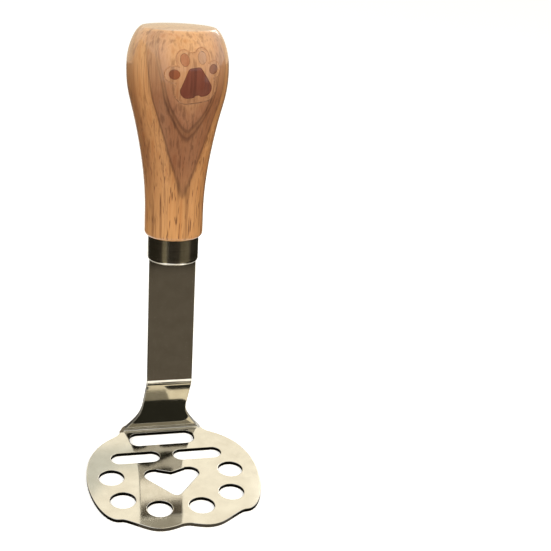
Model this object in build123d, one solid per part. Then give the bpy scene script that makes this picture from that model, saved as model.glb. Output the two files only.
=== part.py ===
from build123d import *
import os
from math import acos, atan2, cos, degrees, hypot, radians, sin, tan

# Potato masher: a pressed sheet-steel head on a turned wooden handle.
# Millimetres, +Z up, the plate flat on the ground at z = 0.
# The origin is where the handle's axis meets the underside of the plate.
# The front of the masher faces -Y, and the handle leans back towards +Y.

# Driving dimensions of the pressed head
sheet_thickness = 2.0
plate_width = 85.2
plate_front_reach = 40.2
plate_lead = 14.5
outline_shift = 0.8
fold_reach = 42.9
fold_width = 43.0
fold_inner_radius = 1.0
fold_corner_run = 3.2
fold_corner_radius = 3.0
fold_taper = 2.8
flare_length = 24.7
side_notch_round = 5.0
front_notch_round = 8.0
bend_height = 43.0
bend_inner_radius = 4.5
strap_width = 22.3
shoulder_height = 107.5
edge_round = 0.3

# Openings in the plate
hole_diameter = 12.4
slot_length = 24.8
slot_height = 9.1
slot_spacing = 31.5
wide_slot_length = 33.4
wide_slot_height = 11.4
wide_slot_corner = 4.6
heart_lobe_radius = 4.85
heart_lobe_spacing = 17.7
heart_lobe_row = 0.95
heart_tip_radius = 2.8
heart_tip_row = -13.4
heart_notch_row = 2.6
heart_notch_round = 1.5

# Tang inside the handle
tang_width = 12.0
tang_length = 72.0
tang_tip_round = 2.5

# Ferrule
ferrule_diameter = 24.0
ferrule_wall = 0.8
ferrule_height = 12.5
ferrule_base = 1.2
ferrule_rim_round = 1.8
ferrule_inner_round = 0.9

# Turned handle
handle_lean = 8.0
handle_length = 97.5
handle_end_radius = 12.4
handle_end_round = 2.2
waist_radius = 13.75
bulge_radius = 23.2
crown_radius = 16.8
crown_round = 1.0
crown_dome = 0.9
bore_radius = 6.6
bore_end_room = 2.0

# Inlaid paw
paw_drop = 22.4
paw_turn = 11.0
paw_tilt = 7.0
paw_ground_depth = 5.4
paw_pad_depth = 3.4
pad_corner_radius = 3.3
pad_lower_spacing = 8.2
pad_lower_drop = 3.1
pad_upper_rise = 4.9
pad_upper_spacing = 3.4
pad_upper_radius = 1.6
pad_notch_radius = 2.2
pad_notch_depth = 0.9
toe_inner_size = (1.95, 2.7)
toe_inner_place = (4.0, 10.4)
toe_outer_size = (2.2, 2.1)
toe_outer_place = (9.05, 4.65)
pad_border = 2.5
toe_border = 1.6

# Clearances
seat_gap = 0.1
inlay_gap = 0.1
overrun = 5.0
hair = 0.001

# Least share of an edge's direction that lies along X, where the edge counts as running along X
along_x_share = 0.9998

# Degrees by which the plate's edge heads outwards beside the fold, before and after its corner
fold_corner_start = 36.0
fold_corner_end = 60.0

# Right half of the plate's edge, in three smooth curves of four control points each.
# The curve behind the widest point keeps its first direction for a share of the way out from the
# corner beside the fold, and reaches the widest point over a share of the way back to that corner.
corner_pull_share = 0.747
widest_pull_share = 0.466

# In front of the widest point, as shares of the plate's half width and of its front reach:
# the side as far as its notch, and the front lobe as far as the notch in the middle.
side_shares = ((1.0, 0.0), (1.0, -0.403), (0.868, -0.817), (0.681, -0.77))
front_notch_share = -0.922
lobe_shares = ((0.681, -0.77), (0.412, -0.938), (0.364, -1.103), (0.0, front_notch_share))

# Hole centres on the right half, as shares of the same two sizes
hole_shares = ((0.699, 0.035), (0.622, -0.423), (0.238, -0.636))

# Webs in front of and behind the short slots: shares of the metal that the slots leave
# between the heart and the fold
front_web_share = 0.478
middle_web_share = 0.406

# Degrees by which the neck's edge heads inwards above the fold
flare_turn = 27.0

# Shares of the flare's length over which the neck's edge keeps its direction, above the fold and
# where it reaches the strap's width
flare_low_share = 0.36
flare_high_share = 0.45

# Handle outline above the waist: shares of the handle's length,
# and of the way from the waist's radius to the bulge's radius.
waist_share = 0.12
swell_shares = ((0.3, 0.11), (0.42, 0.29), (0.605, 0.69))
bulge_share = 0.8
# Between bulge and crown: shares of the height left, and of the way in to the crown's radius.
crown_shares = ((0.35, 0.08), (0.65, 0.32))

# Direction in which the handle's side meets the crown
crown_direction = (-1.0, 0.75)

# Derived sizes of the head
half_width = plate_width / 2
fold_half = fold_width / 2
neck_start_half = fold_half - fold_taper
strap_half = strap_width / 2
middle_z = sheet_thickness / 2
fold_y = fold_reach - plate_lead
bend_y = bend_height * tan(radians(handle_lean))
neck_run = hypot(fold_y - bend_y, bend_height - middle_z)
neck_lean = degrees(atan2(fold_y - bend_y, bend_height - middle_z))
fold_turn = 90 + neck_lean
bend_turn = neck_lean + handle_lean
fold_middle_radius = fold_inner_radius + sheet_thickness / 2
bend_middle_radius = bend_inner_radius + sheet_thickness / 2
fold_tangent = fold_middle_radius * tan(radians(fold_turn / 2))
bend_tangent = bend_middle_radius * tan(radians(bend_turn / 2))
bend_along_axis = bend_height / cos(radians(handle_lean))
flat_back = fold_reach - fold_tangent
slot_webs = flat_back - heart_lobe_row - heart_lobe_radius - slot_height - wide_slot_height
slot_row = heart_lobe_row + heart_lobe_radius + front_web_share * slot_webs + slot_height / 2
wide_slot_row = slot_row + (slot_height + wide_slot_height) / 2 + middle_web_share * slot_webs

# Derived sizes of the handle, measured along its axis from the origin
wood_start = shoulder_height + ferrule_height
wood_end = wood_start + handle_length
tang_end = shoulder_height + tang_length
ferrule_inner_radius = ferrule_diameter / 2 - ferrule_wall
spigot_radius = ferrule_inner_radius - seat_gap
spigot_start = shoulder_height + ferrule_base + ferrule_inner_round
bore_end = tang_end + bore_end_room
paw_height = wood_end - paw_drop
paw_ground_seat = bulge_radius - paw_ground_depth
paw_pad_seat = bulge_radius - paw_pad_depth
lean = Rotation(-handle_lean, 0, 0)


def mirrored(half):
    """A half outline and its mirror image across the middle plane."""
    return half + mirror(half, Plane.YZ)


def heart_opening():
    """Two round lobes and a rounded tip, with a shallow notch between the lobes."""
    lobe_x = heart_lobe_spacing / 2
    lobes = [Pos(side * lobe_x, heart_lobe_row) * Circle(heart_lobe_radius) for side in (-1, 1)]
    tip = Pos(0, heart_tip_row) * Circle(heart_tip_radius)
    outline = make_hull([edge for shape in lobes + [tip] for edge in shape.edges()])
    drop = heart_notch_row - heart_lobe_row
    reach = hypot(lobe_x, drop)
    run = (reach**2 - heart_lobe_radius**2) ** 0.5
    climb = acos(run / reach) - atan2(drop, lobe_x)
    touch_x = run * cos(climb)
    touch_y = heart_notch_row + run * sin(climb)
    over_y = heart_lobe_row + heart_lobe_radius + overrun
    wedge = make_face(Polyline(
        (0, heart_notch_row),
        (touch_x, touch_y),
        (touch_x, over_y),
        (-touch_x, over_y),
        (-touch_x, touch_y),
        close=True,
    ))
    heart = outline - wedge
    notch = heart.vertices().sort_by_distance((0, heart_notch_row, 0))[0]
    return fillet(notch, heart_notch_round)


def plate_openings():
    """All openings of the plate, drawn round the plate's centre."""
    openings = heart_opening()
    for side in (-1, 1):
        for share_x, share_y in hole_shares:
            place = Pos(side * share_x * half_width, share_y * plate_front_reach)
            openings += place * Circle(hole_diameter / 2)
        openings += Pos(side * slot_spacing / 2, slot_row) * SlotOverall(slot_length, slot_height)
    wide = RectangleRounded(wide_slot_length, wide_slot_height, wide_slot_corner)
    return openings + Pos(0, wide_slot_row) * wide


def plate_half(side):
    """The right half of the plate's edge, or for a side of -1 the left half in mirror image."""
    middle_x = side * outline_shift
    corner_x = fold_half + middle_x
    heading = radians(fold_corner_start)
    run = Line(
        (corner_x, flat_back),
        (corner_x + fold_corner_run * sin(heading), flat_back - fold_corner_run * cos(heading)),
    )
    center = run @ 1 + fold_corner_radius * Vector(cos(heading), sin(heading))
    turn = fold_corner_end - fold_corner_start
    corner = CenterArc(center, fold_corner_radius, 180 + fold_corner_start, turn)
    begin = corner @ 1
    widest = half_width + middle_x
    ahead = begin + corner % 1 * corner_pull_share * (widest - begin.X)
    back = Bezier(begin, ahead, (widest, widest_pull_share * begin.Y), (widest, 0))
    front = [
        Bezier(*[(x * half_width + middle_x, y * plate_front_reach) for x, y in shares])
        for shares in (side_shares, lobe_shares)
    ]
    middle = Polyline(front[1] @ 1, (middle_x, flat_back), run @ 0)
    half = make_face([run, corner, back, *front, *middle.edges()])
    notch = half.vertices().sort_by_distance(front[0] @ 1)[0]
    return fillet(notch, side_notch_round)


def plate_outline():
    """The scalloped plate as far back as the start of the fold."""
    whole = plate_half(1) + mirror(plate_half(-1), Plane.YZ)
    notch = whole.vertices().sort_by_distance((outline_shift, front_notch_share * plate_front_reach))[0]
    return fillet(notch, front_notch_round)


def plate_panel():
    """The flat plate with its openings, on the ground."""
    sketch = plate_outline() - plate_openings()
    return extrude(Pos(0, -plate_lead, 0) * sketch, sheet_thickness)


def bend_sector(center_y, center_z, inner_radius, start_angle, turn, width):
    """One rolled bend of the sheet, as an arc in the YZ plane pushed out to the width."""
    inner = CenterArc((center_y, center_z), inner_radius, start_angle, turn)
    outer = CenterArc((center_y, center_z), inner_radius + sheet_thickness, start_angle, turn)
    ends = [Line(outer @ 0, inner @ 0), Line(outer @ 1, inner @ 1)]
    section = make_face([inner, outer, *ends])
    return extrude(Plane.YZ.offset(-width / 2) * section, width)


def fold_bend():
    """The tight fold at the back of the plate, cut off slantwise to the width of the neck."""
    center_y = flat_back - plate_lead
    center_z = sheet_thickness + fold_inner_radius
    bend = bend_sector(center_y, center_z, fold_inner_radius, -90, fold_turn, fold_width)
    tilt = radians(neck_lean)
    drop = (fold_inner_radius + sheet_thickness) * cos(tilt)
    low = fold_tangent - drop
    plane = neck_plane()
    for side in (-1, 1):
        slope = Polyline(
            (side * (fold_half - edge_round), low),
            (side * neck_start_half, fold_tangent),
            (side * neck_start_half, fold_tangent + overrun),
            (side * (fold_half + overrun), fold_tangent + overrun),
            (side * (fold_half + overrun), low),
            close=True,
        )
        bend -= extrude(plane * make_face(slope), 2 * overrun, both=True)
    return Pos(outline_shift, 0, 0) * bend


def upper_bend():
    """The open bend between the neck and the strap."""
    tilt = radians(neck_lean)
    start_y = bend_y + bend_tangent * sin(tilt)
    start_z = bend_height - bend_tangent * cos(tilt)
    center_y = start_y + bend_middle_radius * cos(tilt)
    center_z = start_z + bend_middle_radius * sin(tilt)
    return bend_sector(center_y, center_z, bend_inner_radius, 180 + neck_lean, -bend_turn, strap_width)


def neck_plane():
    """The middle plane of the neck's sheet, from the fold upwards."""
    tilt = radians(neck_lean)
    return Plane(
        origin=(0, fold_y, middle_z),
        x_dir=(1, 0, 0),
        z_dir=(0, -cos(tilt), -sin(tilt)),
    )


def neck_half(side):
    """The right half of the neck, or for a side of -1 the left half in mirror image."""
    low = fold_tangent
    high = neck_run - bend_tangent
    heading = radians(90 + flare_turn)
    start = Vector(neck_start_half + side * outline_shift, low)
    ahead = start + flare_low_share * flare_length * Vector(cos(heading), sin(heading))
    behind = (strap_half, low + flare_length - flare_high_share * flare_length)
    narrow = (strap_half, low + flare_length)
    flare = Bezier(start, ahead, behind, narrow)
    rest = Polyline(narrow, (strap_half, high), (0, high), (0, low), start)
    return make_face([flare, *rest.edges()])


def neck_panel():
    """The flared neck between the fold and the upper bend."""
    sketch = neck_half(1) + mirror(neck_half(-1), Plane.YZ)
    return extrude(neck_plane().offset(-sheet_thickness / 2) * sketch, sheet_thickness)


def strap_panel():
    """The straight strap and the narrower tang above its shoulders."""
    low = bend_along_axis + bend_tangent
    strap = Pos(0, (low + shoulder_height) / 2) * Rectangle(strap_width, shoulder_height - low)
    tang = Pos(0, (shoulder_height + tang_end) / 2) * Rectangle(tang_width, tang_length)
    tang = fillet(tang.vertices().group_by(Axis.Y)[-1], tang_tip_round)
    return lean * extrude(Plane.XZ.offset(-sheet_thickness / 2) * (strap + tang), sheet_thickness)


def is_cut_edge(edge):
    """Whether an edge follows the cut outline or an opening, on either skin, below the shoulders."""
    low, high = sorted((edge @ 0, edge @ 1), key=lambda end: end.Z)
    across = edge.length < sheet_thickness + hair
    above = high.Z > shoulder_height
    along_x = edge.geom_type == GeomType.LINE and abs((edge % 0.5).X) > along_x_share
    in_plate = high.Z < sheet_thickness + hair and high.Y < flat_back - plate_lead - hair
    return not across and not above and (in_plate or not along_x)


def masher_head():
    """Plate, fold, neck, bend, strap and tang as the one pressed blank that they are."""
    plate = plate_panel()
    upper = neck_panel() + upper_bend() + strap_panel()
    rounded = [fillet(panel.edges().filter_by(is_cut_edge), edge_round) for panel in (plate, upper)]
    return rounded[0] + fold_bend() + rounded[1]


def handle_blank():
    """The turned outline of the handle with its spigot, before boring and inlaying."""
    def at(share):
        return wood_start + share * handle_length

    swell = bulge_radius - waist_radius
    waist = (waist_radius, at(waist_share))
    bulge = (bulge_radius, at(bulge_share))
    crown_z = wood_end - crown_dome
    crown = (crown_radius, crown_z)
    left = crown_z - bulge[1]
    swell_points = [(waist_radius + out * swell, at(up)) for up, out in swell_shares]
    crown_points = [
        (bulge_radius - way * (bulge_radius - crown_radius), bulge[1] + up * left)
        for up, way in crown_shares
    ]
    end_top = (waist_radius, wood_start + handle_end_round)
    foot = Polyline(
        (0, spigot_start),
        (spigot_radius, spigot_start),
        (spigot_radius, wood_start),
        (handle_end_radius, wood_start),
    )
    nose = TangentArc(end_top, (handle_end_radius, wood_start), tangent=(0, -1))
    shank = Line(end_top, waist)
    body = Spline(waist, *swell_points, bulge, tangents=[(0, 1), (0, 1)])
    shoulder = Spline(bulge, *crown_points, crown, tangents=[(0, 1), crown_direction])
    dome = TangentArc((0, wood_end), crown, tangent=(1, 0))
    spine = Line((0, wood_end), (0, spigot_start))
    outline = make_face([*foot.edges(), nose, shank, body, shoulder, dome, spine])
    blank = revolve(Plane.XZ * outline, Axis.Z)
    rim = [edge for edge in blank.edges() if abs((edge @ 0).Z - crown_z) < hair]
    return fillet(rim, crown_round)


def paw_prism(shape, seat):
    """A flat shape stood upright at the paw's height and pushed out from its seat."""
    turn = radians(paw_turn)
    plane = Plane(
        origin=(seat * sin(turn), -seat * cos(turn), paw_height),
        x_dir=(cos(turn), sin(turn), 0),
        z_dir=(sin(turn), -cos(turn), 0),
    )
    return extrude(plane * Rotation(0, 0, paw_tilt) * shape, bulge_radius)


def main_pad_shape(grow=0):
    """A rounded trapezoid, wide below and narrow above."""
    corners = (
        (pad_lower_spacing / 2, -pad_lower_drop, pad_corner_radius),
        (pad_upper_spacing / 2, pad_upper_rise, pad_upper_radius),
    )
    circles = [
        Pos(side * x, y) * Circle(radius + grow) for side in (-1, 1) for x, y, radius in corners
    ]
    return make_hull([edge for circle in circles for edge in circle.edges()])


def main_pad():
    """The main pad, notched between its two lower lobes."""
    bottom = -pad_lower_drop - pad_corner_radius
    notch = Pos(0, bottom + pad_notch_depth - pad_notch_radius) * Circle(pad_notch_radius)
    return main_pad_shape() - notch


def toe_places():
    """Each toe's name, place and half sizes, from left to right."""
    toes = []
    for side, word in ((-1, "left"), (1, "right")):
        toes.append((f"{word}_outer", (side * toe_outer_place[0], toe_outer_place[1]), toe_outer_size))
        toes.append((f"{word}_inner", (side * toe_inner_place[0], toe_inner_place[1]), toe_inner_size))
    return toes


def toe_shape(place, size, grow=0):
    """One oval toe."""
    return Pos(*place) * Ellipse(size[0] + grow, size[1] + grow)


def paw_ground_shape(grow=0):
    """One outline round the pad and the toes, a border wider than they are."""
    shape = main_pad_shape(pad_border + grow)
    for _, place, size in toe_places():
        shape += toe_shape(place, size, toe_border + grow)
        shape += trace(Polyline((0, pad_upper_rise), place), 2 * size[0])
    inner_x, inner_y = toe_inner_place
    return shape + trace(Line((-inner_x, inner_y), (inner_x, inner_y)), 2 * toe_inner_size[1])


def inlay_pieces(blank):
    """The ground plug and the pads, flush with the turned surface."""
    pads = {"paw_main_pad": blank & paw_prism(main_pad(), paw_pad_seat)}
    pockets = paw_prism(offset(main_pad(), inlay_gap), paw_pad_seat - inlay_gap)
    for word, place, size in toe_places():
        pads[f"paw_toe_{word}"] = blank & paw_prism(toe_shape(place, size), paw_pad_seat)
        pockets += paw_prism(toe_shape(place, size, inlay_gap), paw_pad_seat - inlay_gap)
    ground = (blank & paw_prism(paw_ground_shape(), paw_ground_seat)) - pockets
    return {"paw_ground": ground, **pads}


def handle_body(blank):
    """The blank, bored for the tang and pocketed for the paw."""
    depth = bore_end - spigot_start + overrun
    bore = Pos(0, 0, bore_end - depth / 2) * Cylinder(bore_radius, depth)
    pocket = paw_prism(paw_ground_shape(inlay_gap), paw_ground_seat - inlay_gap)
    return blank - bore - pocket


def ferrule():
    """A drawn steel cup with a rolled lower rim and a slot for the tang."""
    outer_radius = ferrule_diameter / 2
    cup = Pos(0, 0, shoulder_height) * Cylinder(
        outer_radius, ferrule_height, align=(Align.CENTER, Align.CENTER, Align.MIN)
    )
    cup = fillet(cup.edges().group_by(Axis.Z)[0], ferrule_rim_round)
    hollow = Pos(0, 0, shoulder_height + ferrule_base) * Cylinder(
        ferrule_inner_radius, ferrule_height, align=(Align.CENTER, Align.CENTER, Align.MIN)
    )
    hollow = fillet(hollow.edges().group_by(Axis.Z)[0], ferrule_inner_round)
    slot = Pos(0, 0, shoulder_height) * Box(
        tang_width + 2 * seat_gap, sheet_thickness + 2 * seat_gap, 2 * overrun
    )
    return cup - hollow - slot


def tang_adhesive():
    """The resin that fills the bore round the tang."""
    start = shoulder_height + ferrule_base
    room = Pos(0, 0, (start + bore_end) / 2) * Cylinder(bore_radius - seat_gap, bore_end - start)
    tang = Box(tang_width, sheet_thickness, 2 * tang_end)
    return room - tang


os.makedirs("parts", exist_ok=True)
blank = handle_blank()
upright = {
    "handle_body": handle_body(blank),
    **inlay_pieces(blank),
    "ferrule": ferrule(),
    "tang_adhesive": tang_adhesive(),
}
pieces = {name: lean * piece for name, piece in upright.items()}
pieces["masher_head"] = masher_head()
for name, piece in pieces.items():
    export_step(piece, f"parts/{name}.step")
    print(name, round(piece.volume, 1), "mm3")
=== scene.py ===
# %% [markdown]
# Potato masher: finishes and studio.
#
# The masher is a sheet-steel head on a turned wooden handle, with a paw of darker woods let into
# the handle's front. Its solids arrive ready made, at their real size, so this lesson is about
# what a photograph shows of them: polished steel, lacquered wood, and the fine burnt line that
# a maker draws round an inlay.

import math

import bpy
from mathutils import Matrix, Vector


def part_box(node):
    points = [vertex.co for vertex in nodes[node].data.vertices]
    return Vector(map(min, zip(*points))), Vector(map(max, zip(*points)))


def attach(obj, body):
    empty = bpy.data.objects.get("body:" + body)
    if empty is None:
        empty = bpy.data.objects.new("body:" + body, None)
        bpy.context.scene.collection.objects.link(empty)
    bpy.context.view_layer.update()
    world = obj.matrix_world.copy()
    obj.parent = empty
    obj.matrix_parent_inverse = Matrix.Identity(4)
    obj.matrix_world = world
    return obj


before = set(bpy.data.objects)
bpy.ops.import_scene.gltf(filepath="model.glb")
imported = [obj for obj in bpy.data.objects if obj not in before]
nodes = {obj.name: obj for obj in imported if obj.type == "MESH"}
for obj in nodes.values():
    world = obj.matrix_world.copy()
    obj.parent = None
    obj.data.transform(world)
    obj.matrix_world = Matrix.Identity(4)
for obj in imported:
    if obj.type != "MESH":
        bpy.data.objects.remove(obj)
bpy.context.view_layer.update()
bpy.context.scene.view_settings.view_transform = "Standard"
print("pieces in the frame:", sorted(nodes))

# %% [markdown]
# Everything is in metres. The patterns are given in millimetres, because a grain or a brushed
# line is only believable at its real spacing. The handle leans back, and the paw is set a little
# to the right of the handle's front.

# %% Sizes
MM = 0.001
HANDLE_LEAN = math.radians(8)
PAW_TURN = math.radians(11)

plate_low, plate_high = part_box("masher_head")
wood_low, wood_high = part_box("handle_body")
print("height of the masher in mm:", round(wood_high.z / MM, 1))
print("height where the wood starts, inside the ferrule, in mm:", round(wood_low.z / MM, 1))
print("width of the plate in mm:", round((plate_high.x - plate_low.x) / MM, 1))


# %% [markdown]
# Small helpers serve every material. A colour is picked as the eye sees it, as a hex value on a
# screen, and a renderer needs it in linear light. A node is easier to read on one line, with its
# settings and what feeds it.

# %% Helpers for materials
def linear(colour):
    """An sRGB hex colour as linear red, green, blue and alpha."""
    parts = [int(colour[i:i + 2], 16) / 255 for i in (1, 3, 5)]
    return [p / 12.92 if p <= 0.04045 else ((p + 0.055) / 1.055) ** 2.4 for p in parts] + [1.0]


def add(tree, kind, settings=None, **links):
    """A node of that kind, with settings on the node and values or links on its inputs.

    An input is named, with _ for a space, or numbered, as in i0.
    """
    node = tree.nodes.new("ShaderNode" + kind)
    for name, value in (settings or {}).items():
        setattr(node, name, value)
    for name, value in links.items():
        key = int(name[1:]) if name[0] == "i" and name[1:].isdigit() else name.replace("_", " ")
        if isinstance(value, bpy.types.NodeSocket):
            tree.links.new(value, node.inputs[key])
        else:
            node.inputs[key].default_value = value
    return node


def calc(tree, operation, first, second=0.0):
    """The result of one sum."""
    return add(tree, "Math", {"operation": operation}, i0=first, i1=second).outputs[0]


def times_plus(tree, value, factor, more):
    """The value times a factor, plus more."""
    return add(tree, "Math", {"operation": "MULTIPLY_ADD"}, i0=value, i1=factor, i2=more).outputs[0]


def spread(tree, value, start, end, low=0.0, high=1.0):
    """Low where the value is at the start, high where it is at the end, and even between."""
    return add(tree, "MapRange", Value=value, i1=start, i2=end, i3=low, i4=high).outputs[0]


def mix_values(tree, share, first, second):
    """The first value, giving way to the second as the share grows."""
    return add(tree, "Mix", {"data_type": "FLOAT"}, i0=share, i2=first, i3=second).outputs[0]


def mix_colours(tree, share, first, second, blend="MIX"):
    """The first colour, giving way to the second, or multiplied by it, as the share grows."""
    settings = {"data_type": "RGBA", "blend_type": blend}
    return add(tree, "Mix", settings, i0=share, i6=first, i7=second).outputs[2]


def ramp(tree, factor, stops):
    """A colour ramp whose stops are pairs of a position and an sRGB hex colour."""
    node = add(tree, "ValToRGB", i0=factor)
    elements = node.color_ramp.elements
    while len(elements) < len(stops):
        elements.new(1.0)
    for element, (position, colour) in zip(elements, stops):
        element.position = position
        element.color = linear(colour)
    return node.outputs["Color"]


def millimetres(tree, turn=(0, 0, 0)):
    """The place on the object in millimetres, turned about the origin."""
    place = add(tree, "TexCoord").outputs["Object"]
    scale = (1 / MM, 1 / MM, 1 / MM)
    return add(tree, "Mapping", Vector=place, Rotation=turn, Scale=scale).outputs[0]


def along(tree, vector):
    """The X, Y and Z parts of a vector."""
    return add(tree, "SeparateXYZ", Vector=vector).outputs


def noise(tree, space, size, detail):
    """A noise whose lumps have those sizes in millimetres along X, Y and Z."""
    at = add(tree, "Mapping", Vector=space, Scale=[1 / part for part in size]).outputs[0]
    return add(tree, "TexNoise", Vector=at, Scale=1.0, Detail=detail).outputs["Fac"]


def material(name):
    """An empty node material and its tree, ready for a shader."""
    made = bpy.data.materials.new(name)
    made.use_nodes = True
    made.node_tree.nodes.clear()
    return made, made.node_tree


def finish_material(tree, shader):
    """Links a shader to the material's output."""
    output = tree.nodes.new("ShaderNodeOutputMaterial")
    tree.links.new(shader.outputs[0], output.inputs["Surface"])


def paint(piece, made):
    """Gives a piece one material."""
    piece.data.materials.clear()
    piece.data.materials.append(made)


# %% [markdown]
# The camera comes first, because every finish is judged through it. Its place was worked out
# from the plate's holes and the handle's outline: about 58 cm away, a little to the left, looking
# down by 26 degrees, and tipped by nearly 6 degrees.

# %% Camera
PIXELS = 551
CAMERA_PLACE = Vector((-93.08, -465.96, 338.74)) * MM
CAMERA_PITCH = math.radians(25.797)
CAMERA_YAW = math.radians(16.783)
CAMERA_ROLL = math.radians(-5.676)
SENSOR = 36.0
FOCAL_PIXELS = 1129.44

ahead = Vector((
    math.sin(CAMERA_YAW) * math.cos(CAMERA_PITCH),
    math.cos(CAMERA_YAW) * math.cos(CAMERA_PITCH),
    -math.sin(CAMERA_PITCH),
))
level = Vector((math.cos(CAMERA_YAW), -math.sin(CAMERA_YAW), 0))
below = ahead.cross(level)
across = math.cos(CAMERA_ROLL) * level + math.sin(CAMERA_ROLL) * below
down = math.cos(CAMERA_ROLL) * below - math.sin(CAMERA_ROLL) * level

camera = bpy.data.objects.new("camera", bpy.data.cameras.new("camera"))
bpy.context.scene.collection.objects.link(camera)
turn = Matrix((across, -down, -ahead)).transposed()
camera.matrix_world = Matrix.Translation(CAMERA_PLACE) @ turn.to_4x4()
camera.data.sensor_width = SENSOR
camera.data.lens = SENSOR * FOCAL_PIXELS / PIXELS
camera.data.clip_start = 0.01
bpy.context.scene.camera = camera
print("lens in mm:", round(camera.data.lens, 2))


# %% [markdown]
# The head is stainless steel sheet, 2 mm thick, polished to a mirror after pressing. Polished
# steel has almost no colour of its own: the eye sees the room in it. What tells it from glass is
# a slightly warm tint, the faint lines that the polishing wheel leaves, and edges that the press
# sheared and nobody polished, which stay dull. Those edges are also painted nearly black, as
# painted shade. A sheared edge is found by the way it faces: upright walls low down round the
# plate, and sideways ones up the neck and the strap.

# %% Polished stainless sheet
POLISH_LINE = 0.35
POLISH_LENGTH = 50.0
MOTTLE_SIZE = 7.0
PLATE_TOP = 2.02
STEEL_GLOSS = (0.04, 0.10)
WALL_FADE = (0.35, 0.65, 1.0, 0.0)
SIDE_FADE = (0.75, 0.9)
# Painted shade: the sheared edges are coloured nearly black.
SHEARED_SHADE_COLOUR = "#3C372E"
SHEARED_ROUGHNESS = 0.42

steel, tree = material("polished_stainless_sheet")
space = millimetres(tree)
polish = noise(tree, space, (POLISH_LINE, POLISH_LENGTH, POLISH_LENGTH), 2.0)
mottle = noise(tree, space, (MOTTLE_SIZE, MOTTLE_SIZE, MOTTLE_SIZE), 3.0)
tint = ramp(tree, mottle, ((0.3, "#D6D1C5"), (0.7, "#E2DED3")))
gloss = spread(tree, polish, 0.0, 1.0, *STEEL_GLOSS)

facing = along(tree, add(tree, "NewGeometry").outputs["Normal"])
sideways = calc(tree, "ABSOLUTE", facing["X"])
upwards = calc(tree, "ABSOLUTE", facing["Z"])
wall = spread(tree, upwards, *WALL_FADE)
in_plate = calc(tree, "LESS_THAN", along(tree, space)["Z"], PLATE_TOP)
plate_edge = calc(tree, "MULTIPLY", wall, in_plate)
side_edge = spread(tree, sideways, *SIDE_FADE)
sheared_and_shaded = calc(tree, "MAXIMUM", plate_edge, side_edge)

# The sheared edges are dull by their roughness, and nearly black by painted shade.
colour = mix_colours(tree, sheared_and_shaded, tint, linear(SHEARED_SHADE_COLOUR))
rough = mix_values(tree, sheared_and_shaded, gloss, SHEARED_ROUGHNESS)
bump = add(tree, "Bump", Height=polish, Strength=0.02, Distance=0.02 * MM).outputs[0]
shader = add(tree, "BsdfPrincipled", Base_Color=colour, Metallic=1.0, Roughness=rough, Normal=bump)
finish_material(tree, shader)
paint(nodes["masher_head"], steel)
print("polish lines every", POLISH_LINE, "mm")


# %% [markdown]
# The ferrule is a cup drawn from thinner steel and spun against a tool to finish it, so its marks
# run round it. The same Object coordinates serve: leaned back by the handle's lean, their Z runs
# along the cup, and a noise stretched across it becomes turning lines. The rounded lip at its
# foot is painted pale in the middle, as a painted highlight, and made glossier there.

# %% Turned ferrule
TURNED_LINE = 0.5
TURNED_LENGTH = 100 / 3
FERRULE_GLOSS = (0.15, 0.26)
LIP_TOP = 109.6
LIP_FADE = 0.3
LIP_MIDDLE = -1.5
LIP_HIGHLIGHT_HALF_WIDTH = 4.0
LIP_HIGHLIGHT_FADE = 2.5
LIP_HIGHLIGHT_COLOUR = "#F2EEE4"
LIP_ROUGHNESS = 0.12

turned, tree = material("turned_stainless_cup")
space = millimetres(tree, (HANDLE_LEAN, 0, 0))
rings = noise(tree, space, (TURNED_LENGTH, TURNED_LENGTH, TURNED_LINE), 3.0)
tint = ramp(tree, rings, ((0.35, "#8F897B"), (0.65, "#A8A293")))
gloss = spread(tree, rings, 0.0, 1.0, *FERRULE_GLOSS)

place = along(tree, space)
low = spread(tree, place["Z"], LIP_TOP, LIP_TOP - LIP_FADE)
aside = calc(tree, "ABSOLUTE", calc(tree, "SUBTRACT", place["X"], LIP_MIDDLE))
middle = spread(tree, aside, LIP_HIGHLIGHT_HALF_WIDTH + LIP_HIGHLIGHT_FADE, LIP_HIGHLIGHT_HALF_WIDTH)
lip_highlight = calc(tree, "MULTIPLY", low, middle)

# Painted highlight: the middle of the lip is coloured pale.
colour = mix_colours(tree, lip_highlight, tint, linear(LIP_HIGHLIGHT_COLOUR))
rough = mix_values(tree, lip_highlight, gloss, LIP_ROUGHNESS)
bump = add(tree, "Bump", Height=rings, Strength=0.25, Distance=0.05 * MM).outputs[0]
shader = add(tree, "BsdfPrincipled", Base_Color=colour, Metallic=1.0, Roughness=rough, Normal=bump)
finish_material(tree, shader)
paint(nodes["ferrule"], turned)
print("turning lines every", TURNED_LINE, "mm")


# %% [markdown]
# The handle is flat-sawn hardwood under clear lacquer. A board cut far from the heart of the
# tree holds its growth layers as almost flat sheets. The lathe cuts through those sheets, and
# wherever the handle swells past one, the sheet shows as a V that opens upwards: that is the
# whole figure of the front. So the colour follows one number, the depth in front of the handle's
# axis, and no line is drawn by hand. The sheets are creased along the middle of the front, which
# makes the V sharp, and they bend under the crown, as they do near a knot, which keeps it open
# there. Slow noise bends them a little more, and short dark pores run along the grain.

# %% Place in the wood
GRAIN_TURN = math.radians(6)
DEPTH_BACK = -24.0
DEPTH_FRONT = 30.0
TIP_HEIGHT = 143.0
CREASE = 0.13
RISE_ABOVE_TIP = 0.009
FALL_BELOW_TIP = 0.05
KNOT_HEIGHT = 190.0
KNOT_PULL = 0.0103
SLOW_BEND = 1.5
SLOW_SIZE = (16.0, 70.0)
RIPPLE = 0.6
RIPPLE_SIZE = (3.0, 26.0)


def handle_space(tree):
    """The place in millimetres, with Z along the handle and -Y out through the V."""
    return millimetres(tree, (HANDLE_LEAN, 0, -GRAIN_TURN))


def grain_noise(tree, space, wide, long, detail=2.0):
    """A noise that is wide millimetres across the grain and long millimetres along it."""
    return noise(tree, space, (wide, wide, long), detail)


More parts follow.
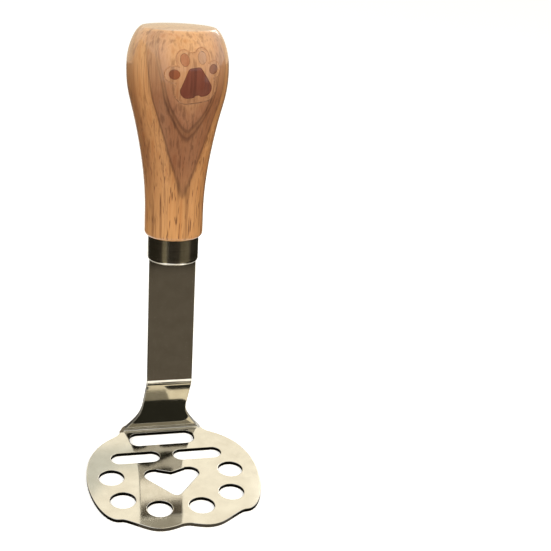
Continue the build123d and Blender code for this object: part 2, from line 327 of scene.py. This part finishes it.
def layer_depth(tree, space):
    """The depth of a place among the growth layers, in millimetres."""
    place = along(tree, space)
    depth = times_plus(tree, place["Y"], -1.0, -(SLOW_BEND + RIPPLE) / 2)
    depth = times_plus(tree, calc(tree, "ABSOLUTE", place["X"]), -CREASE, depth)
    from_tip = calc(tree, "SUBTRACT", place["Z"], TIP_HEIGHT)
    depth = times_plus(tree, from_tip, RISE_ABOVE_TIP, depth)
    below_tip = calc(tree, "MINIMUM", from_tip, 0.0)
    depth = times_plus(tree, below_tip, FALL_BELOW_TIP, depth)
    from_knot = calc(tree, "SUBTRACT", place["Z"], KNOT_HEIGHT)
    pulled = calc(tree, "POWER", calc(tree, "MAXIMUM", from_knot, 0.0), 2.0)
    depth = times_plus(tree, pulled, KNOT_PULL, depth)
    depth = times_plus(tree, grain_noise(tree, space, *SLOW_SIZE), SLOW_BEND, depth)
    return times_plus(tree, grain_noise(tree, space, *RIPPLE_SIZE), RIPPLE, depth)


print("the V's tip lies", TIP_HEIGHT, "mm up the handle's axis")


# %% [markdown]
# Painted light: the handle is painted paler at its foot and its top, and palest on the crown,
# where more light falls, so two paler tones are mixed in by height. The layers themselves are
# listed from the back of the handle to its front, each as a depth in millimetres and a colour; a
# thin dark one is a winter line.

# %% Lacquered wood
WOOD_LAYERS = (
    (-24.0, "#B17A45"),
    (-18.0, "#9A6334"),
    (-17.3, "#B9854E"),
    (-12.0, "#A87242"),
    (-11.2, "#7D4E2A"),
    (-10.6, "#B68350"),
    (-6.0, "#98653A"),
    (-5.3, "#82532E"),
    (-4.6, "#9D6A3B"),
    (4.0, "#8F5D34"),
    (6.5, "#A77243"),
    (9.5, "#B37C48"),
    (12.0, "#BC8550"),
    (13.7, "#B07A47"),
    (14.1, "#6E4324"),
    (14.6, "#8F5C39"),
    (17.7, "#905D3A"),
    (18.15, "#63391D"),
    (18.5, "#905D3A"),
    (18.95, "#653C20"),
    (19.3, "#966241"),
    (20.6, "#9D6A47"),
    (22.5, "#B27E51"),
    (25.0, "#B68152"),
    (30.0, "#C39160"),
)
FOOT_PAINTED_LIGHT = "#DFA564"
TOP_PAINTED_LIGHT = "#E6B680"
FOOT_LIGHT_FADE = (158.0, 116.0, 0.0, 0.46)
TOP_LIGHT_FADE = (188.0, 212.0, 0.0, 0.4)
CROWN_LIGHT_FADE = (215.4, 216.2, 0.0, 0.2)
STREAK_SIZE = (1.6, 34.0)
STREAK_STRENGTH = 0.8
PORE_SIZE = (0.75, 9.0)
PORE_FADE = (0.62, 0.68)
PORE_SHARE = (160.0, 192.0, 0.85, 0.05)
PORE_COLOUR = "#6A3F20"
WOOD_ROUGHNESS = 0.42
WOOD_IOR = 1.5
LACQUER_WEIGHT = 0.85
LACQUER_ROUGHNESS = 0.09


def painted_light_at(tree, height, fade, painted_light):
    """How far painted light makes the colour paler at a height, from a fade of start, end, low and
    high.
    """
    start, end, low, high = fade
    return spread(tree, height, start, end, low, high * painted_light)


def wood_colour(tree, space, layers, painted_light):
    """The layered colour of a board, with its bends, streaks, pores and painted light, and the
    pores' mask.
    """
    share = spread(tree, layer_depth(tree, space), DEPTH_BACK, DEPTH_FRONT)
    width = DEPTH_FRONT - DEPTH_BACK
    colour = ramp(tree, share, [((at - DEPTH_BACK) / width, tone) for at, tone in layers])
    height = along(tree, space)["Z"]
    # Painted light: paler tones are mixed in at the foot, the top and the crown.
    foot_light = painted_light_at(tree, height, FOOT_LIGHT_FADE, painted_light)
    colour = mix_colours(tree, foot_light, colour, linear(FOOT_PAINTED_LIGHT))
    top_light = painted_light_at(tree, height, TOP_LIGHT_FADE, painted_light)
    crown_light = painted_light_at(tree, height, CROWN_LIGHT_FADE, painted_light)
    colour = mix_colours(tree, calc(tree, "ADD", top_light, crown_light), colour, linear(TOP_PAINTED_LIGHT))
    streak = grain_noise(tree, space, *STREAK_SIZE, 4.0)
    streaks = ramp(tree, streak, ((0.34, "#C2B5A8"), (0.5, "#FFFFFF"), (0.7, "#E6D4C0")))
    colour = mix_colours(tree, STREAK_STRENGTH, colour, streaks, "MULTIPLY")
    pores = spread(tree, grain_noise(tree, space, *PORE_SIZE, 1.0), *PORE_FADE)
    dark = calc(tree, "MULTIPLY", pores, spread(tree, height, *PORE_SHARE))
    return mix_colours(tree, dark, colour, linear(PORE_COLOUR)), dark


def lacquer(shader):
    """Lays clear lacquer over a shader."""
    shader.inputs["Coat Weight"].default_value = LACQUER_WEIGHT
    shader.inputs["Coat Roughness"].default_value = LACQUER_ROUGHNESS
    shader.inputs["Coat IOR"].default_value = WOOD_IOR


def lacquered_wood(name, layers, painted_light):
    """A wood of those layers under a clear, glossy lacquer."""
    made, tree = material(name)
    colour, pores = wood_colour(tree, handle_space(tree), layers, painted_light)
    pits = add(tree, "Bump", {"invert": True}, Height=pores, Strength=0.12, Distance=0.1 * MM)
    shader = add(tree, "BsdfPrincipled", Base_Color=colour, Roughness=WOOD_ROUGHNESS,
                 IOR=WOOD_IOR, Normal=pits.outputs[0])
    lacquer(shader)
    finish_material(tree, shader)
    return made


paint(nodes["handle_body"], lacquered_wood("lacquered_flat_sawn_hardwood", WOOD_LAYERS, 1.0))
print("growth layers:", len(WOOD_LAYERS))


# %% [markdown]
# The paw is let into the wood in several tones: a ground that is a little paler than the board, a
# deep red-brown pad, and toes cut from offcuts, so that no two match. The same wood serves all
# of them, with other layers, and the lacquer runs over the whole. Each inlay has a name for its
# wood, a dark and a light tone, and a share of the handle's painted light.

# %% Inlaid woods
LAYER_STEP = 3
PAW_WOODS = {
    "paw_ground": ("lacquered_maple_ground", "#A3714B", "#B07D55", 0.75),
    "paw_main_pad": ("lacquered_rosewood_pad", "#6A3320", "#753B27", 0.0),
    "paw_toe_left_outer": ("lacquered_walnut_toe_left", "#844724", "#904F2A", 0.0),
    "paw_toe_left_inner": ("lacquered_cherry_toe_left", "#9E6640", "#A86E48", 0.0),
    "paw_toe_right_inner": ("lacquered_beech_toe_right", "#A87F60", "#B28868", 0.0),
    "paw_toe_right_outer": ("lacquered_walnut_toe_right", "#7E4A26", "#8A532C", 0.0),
}


def even_layers(dark, light):
    """Layers of an evenly coloured wood, which only swings between two near tones."""
    steps = range(int(DEPTH_BACK), int(DEPTH_FRONT) + 1, LAYER_STEP)
    return [(at, dark if (at // LAYER_STEP) % 2 else light) for at in steps]


for node, (name, dark, light, painted_light) in PAW_WOODS.items():
    paint(nodes[node], lacquered_wood(name, even_layers(dark, light), painted_light))
print("inlaid woods:", len(PAW_WOODS))


# %% [markdown]
# The tang is set in casting resin inside the handle. No view shows it, but a piece without a
# finish would be a gap in the part, so it gets the amber, slightly cloudy look of cured epoxy.

# %% Hidden resin
CLOUD_SIZE = 10.0

resin, tree = material("cured_epoxy_resin")
cloud = noise(tree, millimetres(tree), (CLOUD_SIZE, CLOUD_SIZE, CLOUD_SIZE), 3.0)
amber = ramp(tree, cloud, ((0.3, "#A9813F"), (0.7, "#C29A55")))
shader = add(tree, "BsdfPrincipled", Base_Color=amber, Roughness=0.3, IOR=1.5)
finish_material(tree, shader)
paint(nodes["tang_adhesive"], resin)
print("clouds in the resin every", CLOUD_SIZE, "mm")


# %% [markdown]
# The paw's ground is bordered by a thin dark line, as a hot wire burns it. It follows the rim of
# the inlay, which is already a closed loop in the ground's own mesh, so nothing is drawn again: a
# copy of the ground is reduced to its front face, the front face to its rim, and the rim becomes a
# curve with a round section, sunk until only a low bead shows. The wire bit deepest at the foot
# of the paw, and the line pales towards the toes.

# %% Burnt line round the paw
LINE_RADIUS = 0.38
LINE_SINK = 0.26
POCKET_FLOOR = 19.75
SQUARE_ON = 0.999
FACING_OUT = 0.5
CHAR_SIZE = 1 / 0.9
CHAR_FADE = (186.0, 206.0, -0.15, 0.35)

outward = Matrix.Rotation(-HANDLE_LEAN, 3, "X") @ Vector((
    math.sin(PAW_TURN), -math.cos(PAW_TURN), 0))


def only(piece):
    """Selects one piece alone and makes it the active one."""
    bpy.ops.object.select_all(action="DESELECT")
    piece.select_set(True)
    bpy.context.view_layer.objects.active = piece


line = bpy.data.objects.new("paw_outline", nodes["paw_ground"].data.copy())
bpy.context.scene.collection.objects.link(line)
only(line)
bpy.ops.object.mode_set(mode="EDIT")
bpy.ops.mesh.select_all(action="SELECT")
bpy.ops.mesh.remove_doubles(threshold=0.001 * MM)
bpy.ops.mesh.select_all(action="DESELECT")
bpy.ops.object.mode_set(mode="OBJECT")
for face in line.data.polygons:
    facing_out = face.normal.dot(outward)
    in_pocket = facing_out > SQUARE_ON and face.center.dot(outward) < POCKET_FLOOR * MM
    face.select = facing_out < FACING_OUT or in_pocket
bpy.ops.object.mode_set(mode="EDIT")
bpy.ops.mesh.select_mode(type="FACE")
bpy.ops.mesh.delete(type="FACE")
bpy.ops.mesh.select_all(action="SELECT")
bpy.ops.mesh.region_to_loop()
bpy.ops.mesh.select_mode(type="EDGE")
bpy.ops.mesh.select_all(action="INVERT")
bpy.ops.mesh.delete(type="EDGE")
bpy.ops.mesh.separate(type="LOOSE")
bpy.ops.object.mode_set(mode="OBJECT")
rims = [piece for piece in bpy.context.selected_objects if piece.type == "MESH"]
line = max(rims, key=lambda piece: piece.dimensions.x)
for piece in rims:
    if piece is not line:
        bpy.data.objects.remove(piece)
line.name = "paw_outline"
only(line)
print("points round the paw:", len(line.data.vertices), "rims:", len(rims))
bpy.ops.object.convert(target="CURVE")
line.data.bevel_depth = LINE_RADIUS * MM
line.data.bevel_resolution = 2
bpy.ops.object.convert(target="MESH")
bpy.ops.object.mode_set(mode="EDIT")
bpy.ops.mesh.select_all(action="SELECT")
bpy.ops.transform.translate(value=-LINE_SINK * MM * outward)
bpy.ops.object.mode_set(mode="OBJECT")
bpy.ops.object.shade_smooth()

burnt, tree = material("burnt_line")
space = millimetres(tree)
fading = spread(tree, along(tree, space)["Z"], *CHAR_FADE)
char = noise(tree, space, (CHAR_SIZE, CHAR_SIZE, CHAR_SIZE), 3.0)
brown = ramp(tree, calc(tree, "ADD", char, fading), ((0.25, "#6A4226"), (0.85, "#B07C50")))
shader = add(tree, "BsdfPrincipled", Base_Color=brown, Roughness=0.5, IOR=WOOD_IOR)
lacquer(shader)
finish_material(tree, shader)
paint(line, burnt)
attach(line, "root")
print("triangles in the burnt line:", sum(len(f.vertices) - 2 for f in line.data.polygons))


# %% [markdown]
# The stage is a white floor under a soft studio. The floor is lit by the same plain light as the
# masher, so it keeps a soft shadow. A camera would still record it as pale grey, so a little
# light of its own is added, but only for rays that come from the camera or off a mirror or glass.

# %% Floor
FLOOR_REACH = 3000.0
FLOOR_GLOW = 0.38


def seen_ray(tree):
    """One for rays that come from the camera or off a mirror or glass, and otherwise nought."""
    ray = add(tree, "LightPath").outputs
    shown = calc(tree, "MAXIMUM", ray["Is Camera Ray"], ray["Is Glossy Ray"])
    return calc(tree, "MAXIMUM", shown, ray["Is Transmission Ray"])


def board(name, corners):
    """A flat stage piece: a plane whose four corners, in millimetres, are pulled into place."""
    bpy.ops.object.select_all(action="DESELECT")
    bpy.ops.mesh.primitive_plane_add(size=1)
    piece = bpy.context.object
    piece.name = name
    first, second, third, fourth = corners
    for vertex, corner in zip(piece.data.vertices, (first, second, fourth, third)):
        vertex.co = Vector(corner) * MM
    return piece


def lying(left, right, near, far, height):
    """The corners of a level rectangle."""
    return [(left, near, height), (right, near, height), (right, far, height), (left, far, height)]


def standing(left, right, low, high, y):
    """The corners of an upright rectangle that faces along Y."""
    return [(left, y, low), (right, y, low), (right, y, high), (left, y, high)]


floor = board("floor", lying(-FLOOR_REACH, FLOOR_REACH, -FLOOR_REACH, FLOOR_REACH, 0))
white, tree = material("white_paper_floor")
glow = calc(tree, "MULTIPLY", seen_ray(tree), FLOOR_GLOW)
paper = add(tree, "BsdfDiffuse", Color=linear("#F6F5F2"))
own = add(tree, "Emission", Color=linear("#FFFFFF"), Strength=glow)
finish_material(tree, add(tree, "AddShader", i0=paper.outputs[0], i1=own.outputs[0]))
paint(floor, white)
print("the floor reaches", FLOOR_REACH, "mm each way")

# %% [markdown]
# Polished steel is shown by what it mirrors, so a photographer sets cards round it, out of the
# picture. Here they are seen by reflections alone and cast neither light nor shadow. A bright
# cream wall behind fills the plate, with two greyer panes for its left side. Grey cards in front
# fill the bends and temper the lacquer, one at the left darkens the handle's edge, and a cream one
# above lights the neck by way of the plate. Dark cloths on the floor fill the strap, the neck and
# the ferrule, with two paler strips for the ferrule's streaks. Two small bright cards make the
# glints on the lacquer. Each card has a name, a colour, a strength and four corners.

# %% Cards for the reflections
WALL_Y = 800
PANE_Y = 795
FRONT_Y = -900
CLOTH_LIFT = 0.2
STRIP_LIFT = 0.4

CARDS = (
    ("cream_wall", "#FFF8E6", 1.22, standing(-700, 1000, 330, 1500, WALL_Y)),
    ("grey_pane", "#FFFFF2", 0.76, [
        (-700, PANE_Y, 553), (126, PANE_Y, 553), (128, PANE_Y, 589), (-700, PANE_Y, 589)]),
    ("grey_pane_low", "#FFFFF2", 0.76, [
        (-700, PANE_Y, 589), (92, PANE_Y, 589), (50, PANE_Y, 640), (-700, PANE_Y, 640)]),
    ("warm_skirt", "#EBDCC0", 1.0, standing(-900, 1200, 1, 330, WALL_Y)),
    ("left_wall", "#867E70", 1.0, [
        (-1000, FRONT_Y, 1), (-1000, PANE_Y, 1), (-1000, PANE_Y, 600), (-1000, FRONT_Y, 600)]),
    ("low_front", "#5C574C", 1.0, standing(-500, 1200, 1, 285, FRONT_Y)),
    ("grey_front", "#B5B2A8", 1.0, standing(-500, 1200, 380, 860, FRONT_Y)),
    ("pale_front", "#D3D0C6", 1.0, standing(-500, 1200, 860, 1400, FRONT_Y)),
    ("dim_front", "#5F5B52", 1.0, standing(-500, 1200, 1400, 2600, FRONT_Y)),
    ("cream_above", "#FFF6DE", 1.25, lying(60, 900, -500, 300, 1200)),
    ("front_cloth", "#635B4F", 1.0, lying(5, 3000, -565, -100, CLOTH_LIFT)),
    ("front_cloth_left", "#403A31", 1.0, lying(-1200, 5, -565, -130, CLOTH_LIFT)),
    ("far_cloth", "#201E18", 1.0, lying(-1200, 1200, -1300, -565, CLOTH_LIFT)),
    ("left_cloth", "#3A362D", 1.0, lying(-3000, -100, -130, 2400, CLOTH_LIFT)),
    ("right_cloth", "#3A362D", 1.0, lying(100, 3000, -100, 2400, CLOTH_LIFT)),
    ("cloth_under_plate", "#2B2A22", 1.0, lying(-42, 42, -50, 32, CLOTH_LIFT)),
    ("left_strip", "#AFA68A", 1.0, [
        (-210, -136, STRIP_LIFT), (-143, -205, STRIP_LIFT),
        (-516, -737, STRIP_LIFT), (-755, -490, STRIP_LIFT)]),
    ("right_strip", "#8F8670", 1.0, [
        (102, -228, STRIP_LIFT), (236, -110, STRIP_LIFT),
        (851, -293, STRIP_LIFT), (366, -822, STRIP_LIFT)]),
    ("rim_glint", "#FFFFFF", 4.0, [
        (250, 620, 290), (460, 560, 290), (460, 560, 640), (250, 620, 640)]),
    ("toe_glint", "#FFFFFF", 5.0, standing(130, 162, 700, 732, -735)),
)

for name, colour, strength, corners in CARDS:
    piece = board(name, corners)
    made, tree = material(name + "_surface")
    finish_material(tree, add(tree, "Emission", Color=linear(colour), Strength=strength))
    paint(piece, made)
    piece.visible_camera = False
    piece.visible_diffuse = False
    piece.visible_transmission = False
    piece.visible_shadow = False
print("cards for the reflections:", len(CARDS))

# %% [markdown]
# The light itself is plain: an even pale sky, a warm key from the right and a fill from the left.
# The sky is a little dimmer as light than the white that the camera, mirrors and glass see. The
# lamps are left out of the reflections, where the cards already stand. Each lamp has a name, a
# place, a size, a power and a colour.

# %% Lights
SKY_STRENGTH = 0.75
WHITE_STRENGTH = 1.0
LIGHT_AIM = (0, 20, 110)
SOFT_LIGHTS = (
    ("key", (450, -350, 700), 350, 3.8, "#FFF6E8"),
    ("fill", (-600, -300, 450), 500, 2.6, "#FFFFFF"),
)

world = bpy.data.worlds.new("studio")
bpy.context.scene.world = world
world.use_nodes = True
tree = world.node_tree
tree.nodes.clear()
light = add(tree, "Background", Color=linear("#F3F1EC"), Strength=SKY_STRENGTH)
backdrop = add(tree, "Background", Color=linear("#FFFFFF"), Strength=WHITE_STRENGTH)
sky = add(tree, "MixShader", i0=seen_ray(tree), i1=light.outputs[0], i2=backdrop.outputs[0])
output = tree.nodes.new("ShaderNodeOutputWorld")
tree.links.new(sky.outputs[0], output.inputs["Surface"])

for name, place, size, power, colour in SOFT_LIGHTS:
    lamp = bpy.data.lights.new(name, "AREA")
    lamp.shape = "SQUARE"
    lamp.size = size * MM
    lamp.energy = power
    lamp.color = linear(colour)[:3]
    piece = bpy.data.objects.new(name, lamp)
    bpy.context.scene.collection.objects.link(piece)
    piece.location = Vector(place) * MM
    piece.rotation_mode = "QUATERNION"
    piece.rotation_quaternion = (Vector(LIGHT_AIM) - Vector(place)).to_track_quat("-Z", "Y")
    piece.visible_glossy = False
print("soft lights:", len(SOFT_LIGHTS))
